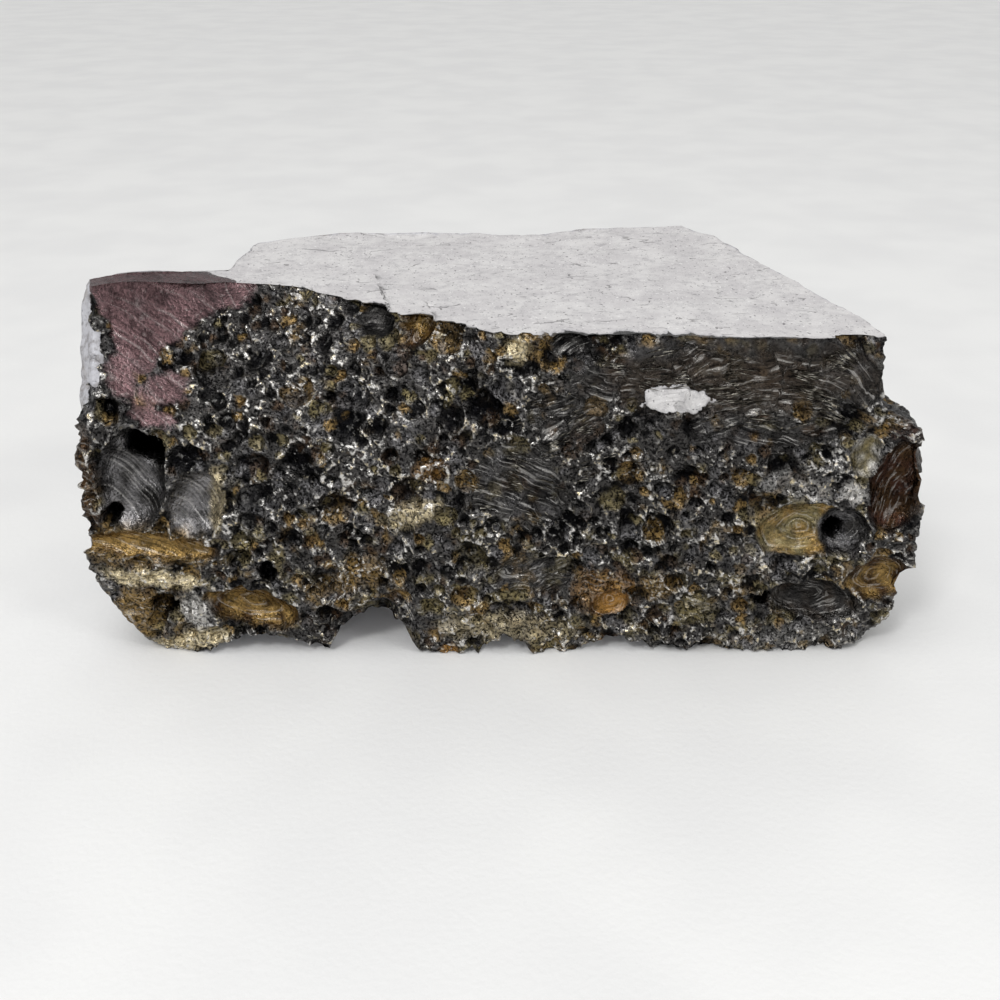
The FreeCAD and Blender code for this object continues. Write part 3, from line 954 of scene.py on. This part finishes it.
def lump_material(settings):
    """Broken alloy and its cast skin, told apart by the point values of the lump."""
    nodes = Nodes("cast_alloy_broken")
    speck = nodes.noise(0.7, 2.0, 0.65)
    lines = nodes.value("lines")
    stripe = nodes.noise(0.75, 2.0, 0.6, nodes.combine(nodes.value("grain"), nodes.along_lines()))
    vein = nodes.math("SUBTRACT", nodes.noise(7.0, 2.0, 0.5, nodes.stretched(0.45)), 0.5)
    crack = nodes.span(nodes.math("ABSOLUTE", vein), 0.010, 0.002)
    crack = nodes.math("MULTIPLY", crack, nodes.span(nodes.noise(6.0, 1.0), 0.56, 0.64))
    metal = broken_metal(nodes, speck, stripe, settings.crest_light)
    pale = cast_skin(nodes, crack, tuple(settings.skin_colour))
    fray = nodes.math("MULTIPLY", nodes.noise(0.9, 2.0), 0.3)
    edge = nodes.span(nodes.math("ADD", nodes.value("skin"), fray), 0.60, 0.70)
    nodes.link(nodes.mix(edge, metal, pale), nodes.shader.inputs["Base Color"])

    nodes.link(nodes.span(edge, 0.0, 1.0, 1.0, 0.1), nodes.shader.inputs["Metallic"])
    roughness = nodes.span(nodes.noise(0.7, 2.0), 0.3, 0.7, 0.17, 0.45)
    roughness = nodes.math("ADD", roughness, nodes.math("MULTIPLY", edge, 0.3))
    nodes.link(roughness, nodes.shader.inputs["Roughness"])
    height = nodes.math("MULTIPLY", nodes.math("SUBTRACT", 1.0, edge), speck)
    height = nodes.math("ADD", height, nodes.math("MULTIPLY", nodes.math("MULTIPLY", stripe, lines), 1.2))
    height = nodes.math("SUBTRACT", height, nodes.math("MULTIPLY", crack, edge))
    normal = nodes.bump(nodes.noise(1.1, 4.0, 0.6), 0.12, nodes.bump(height, 0.35))
    nodes.link(normal, nodes.shader.inputs["Normal"])
    return nodes.material


def needle_material():
    """Bare bright metal, duller in places."""
    nodes = Nodes("needle_metal")
    tone = nodes.mix(nodes.span(nodes.noise(2.5, 2.0), 0.46, 0.66), NEEDLE_DULL, NEEDLE_BRIGHT)
    nodes.link(tone, nodes.shader.inputs["Base Color"])
    nodes.shader.inputs["Metallic"].default_value = 1.0
    nodes.link(nodes.span(nodes.noise(1.0, 2.0), 0.3, 0.7, 0.25, 0.45), nodes.shader.inputs["Roughness"])
    return nodes.material


def floor_material(settings):
    """Pale embossed sheet: two close tones, with fine wrinkles as bump."""
    nodes = Nodes("pale_sheet")
    cloud = nodes.span(nodes.noise(60.0, 2.0), 0.3, 0.7)
    tone = nodes.mix(cloud, tuple(settings.floor_colour), SHEET_CLOUD)
    nodes.link(tone, nodes.shader.inputs["Base Color"])
    nodes.shader.inputs["Roughness"].default_value = 0.55
    nodes.link(nodes.bump(nodes.noise(1.6, 2.0, 0.5), 0.10), nodes.shader.inputs["Normal"])
    return nodes.material


# ---------------------------------------------------------------- settings, operators and panel

class LumpSettings(bpy.types.PropertyGroup):
    """What a user may change about the lump."""

    triangles: bpy.props.IntProperty(
        name="Triangles", description="Most triangles that the lump may have", default=196000, min=20000)
    needles: bpy.props.IntProperty(
        name="Needles", description="Number of thin crystal needles on the broken face", default=420, min=10)
    # Strength of the painted highlight on the thin walls between pores and on the crests.
    crest_light: bpy.props.FloatProperty(
        name="Crest light", description="Brightness of the thin walls between pores", default=0.9,
        min=0.0, max=1.0, subtype="FACTOR")
    skin_colour: bpy.props.FloatVectorProperty(
        name="Skin colour", description="Colour of the cast skin", default=SKIN, size=3,
        min=0.0, max=1.0, subtype="COLOR")


class StageSettings(bpy.types.PropertyGroup):
    """What a user may change about the stage."""

    floor_colour: bpy.props.FloatVectorProperty(
        name="Floor colour", description="Colour of the sheet under the lump", default=SHEET, size=3,
        min=0.0, max=1.0, subtype="COLOR")
    floor_size: bpy.props.FloatProperty(
        name="Floor size", description="Side of the square floor", default=12.0, min=1.0, unit="LENGTH")


class ALLOY_OT_lump(bpy.types.Operator):
    """Build the broken lump as one closed mesh"""

    bl_idname = "alloy.lump"
    bl_label = "Build lump"

    def execute(self, context):
        settings = context.scene.alloy_lump
        points, faces, tint, values, _ = build_lump()
        piece = mesh_object("ingot_lump", points, faces, tint, values)
        thin = piece.modifiers.new("thin", "DECIMATE")
        thin.ratio = min(1.0, settings.triangles / len(faces))
        context.view_layer.update()
        finished = bpy.data.meshes.new_from_object(piece.evaluated_get(context.evaluated_depsgraph_get()))
        piece.modifiers.clear()
        piece.data = finished
        finished.name = "ingot_lump"
        finished.materials.clear()
        finished.materials.append(lump_material(settings))
        finished.polygons.foreach_set("use_smooth", np.ones(len(finished.polygons), dtype=bool))
        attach(piece, "root")
        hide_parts("ingot")
        return {"FINISHED"}


class ALLOY_OT_needles(bpy.types.Operator):
    """Lay thin crystal needles on the broken face"""

    bl_idname = "alloy.needles"
    bl_label = "Lay needles"

    def execute(self, context):
        points, faces = build_needles(context.scene.alloy_lump.needles)
        piece = mesh_object("crystal_needles", points, faces, np.tile(np.array(SILVER), (len(points), 1)), {})
        piece.data.materials.append(needle_material())
        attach(piece, "root")
        return {"FINISHED"}


def area_light(name, place, size, power):
    """A square lamp at a place in metres, turned to the middle of the lump."""
    lamp = bpy.data.lights.new(name, "AREA")
    lamp.size = size
    lamp.energy = power
    holder = bpy.data.objects.new(name, lamp)
    bpy.context.scene.collection.objects.link(holder)
    away = np.array(place) - np.array(LAMP_AIM)
    holder.location = place
    holder.rotation_euler = (math.atan2(math.hypot(away[0], away[1]), away[2]), 0.0,
                             math.atan2(away[0], -away[1]))


class ALLOY_OT_stage(bpy.types.Operator):
    """Build the floor, the soft lamps and the camera"""

    bl_idname = "alloy.stage"
    bl_label = "Build stage"

    def execute(self, context):
        scene = context.scene
        settings = scene.alloy_stage
        half = settings.floor_size / 2
        mesh = bpy.data.meshes.new("floor")
        corners = [(-half, -half, 0), (half, -half, 0), (half, half, 0), (-half, half, 0)]
        mesh.from_pydata(corners, [], [(0, 1, 2, 3)])
        mesh.materials.append(floor_material(settings))
        floor = bpy.data.objects.new("floor", mesh)
        scene.collection.objects.link(floor)
        for lamp in LAMPS:
            area_light(*lamp)
        sky = bpy.data.lights.new("ceiling_light", "SUN")
        sky.energy = SKY_POWER
        sky.angle = SKY_SPREAD
        ceiling = bpy.data.objects.new("ceiling_light", sky)
        ceiling.rotation_euler = (math.radians(12.0), math.radians(-10.0), 0.0)
        scene.collection.objects.link(ceiling)
        world = bpy.data.worlds.new("studio")
        world.use_nodes = True
        room = world.node_tree.nodes["Background"]
        room.inputs["Color"].default_value = (1.0, 1.0, 1.0, 1.0)
        room.inputs["Strength"].default_value = ROOM_LIGHT
        scene.world = world
        scene.view_settings.view_transform = "Standard"
        lens = bpy.data.cameras.new("view")
        lens.lens = LENS
        camera = bpy.data.objects.new("view", lens)
        camera.location = (EYE + FRONT_SHIFT) * MM
        camera.rotation_euler = (math.pi / 2 - PITCH, 0.0, 0.0)
        scene.collection.objects.link(camera)
        scene.camera = camera
        return {"FINISHED"}


class ALLOY_PT_panel(bpy.types.Panel):
    """Sidebar panel with the lump's and the stage's settings"""

    bl_idname = "ALLOY_PT_panel"
    bl_label = "Alloy lump"
    bl_space_type = "VIEW_3D"
    bl_region_type = "UI"
    bl_category = "Alloy lump"

    def draw(self, context):
        scene = context.scene
        groups = ((scene.alloy_lump, ("alloy.lump", "alloy.needles")), (scene.alloy_stage, ("alloy.stage",)))
        for settings, operators in groups:
            box = self.layout.box()
            for name in settings.bl_rna.properties.keys():
                if name not in {"rna_type", "name"}:
                    box.prop(settings, name)
            for operator in operators:
                box.operator(operator)


CLASSES = (LumpSettings, StageSettings, ALLOY_OT_lump, ALLOY_OT_needles, ALLOY_OT_stage, ALLOY_PT_panel)


def register():
    """Add the settings, operators and panel."""
    for part in CLASSES:
        bpy.utils.register_class(part)
    bpy.types.Scene.alloy_lump = bpy.props.PointerProperty(type=LumpSettings)
    bpy.types.Scene.alloy_stage = bpy.props.PointerProperty(type=StageSettings)


def unregister():
    """Take them away again."""
    del bpy.types.Scene.alloy_stage
    del bpy.types.Scene.alloy_lump
    for part in reversed(CLASSES):
        bpy.utils.unregister_class(part)


def main():
    """Register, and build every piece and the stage."""
    register()
    bpy.ops.alloy.lump()
    bpy.ops.alloy.needles()
    bpy.ops.alloy.stage()
    bpy.context.view_layer.update()


if __name__ == "__main__":
    main()
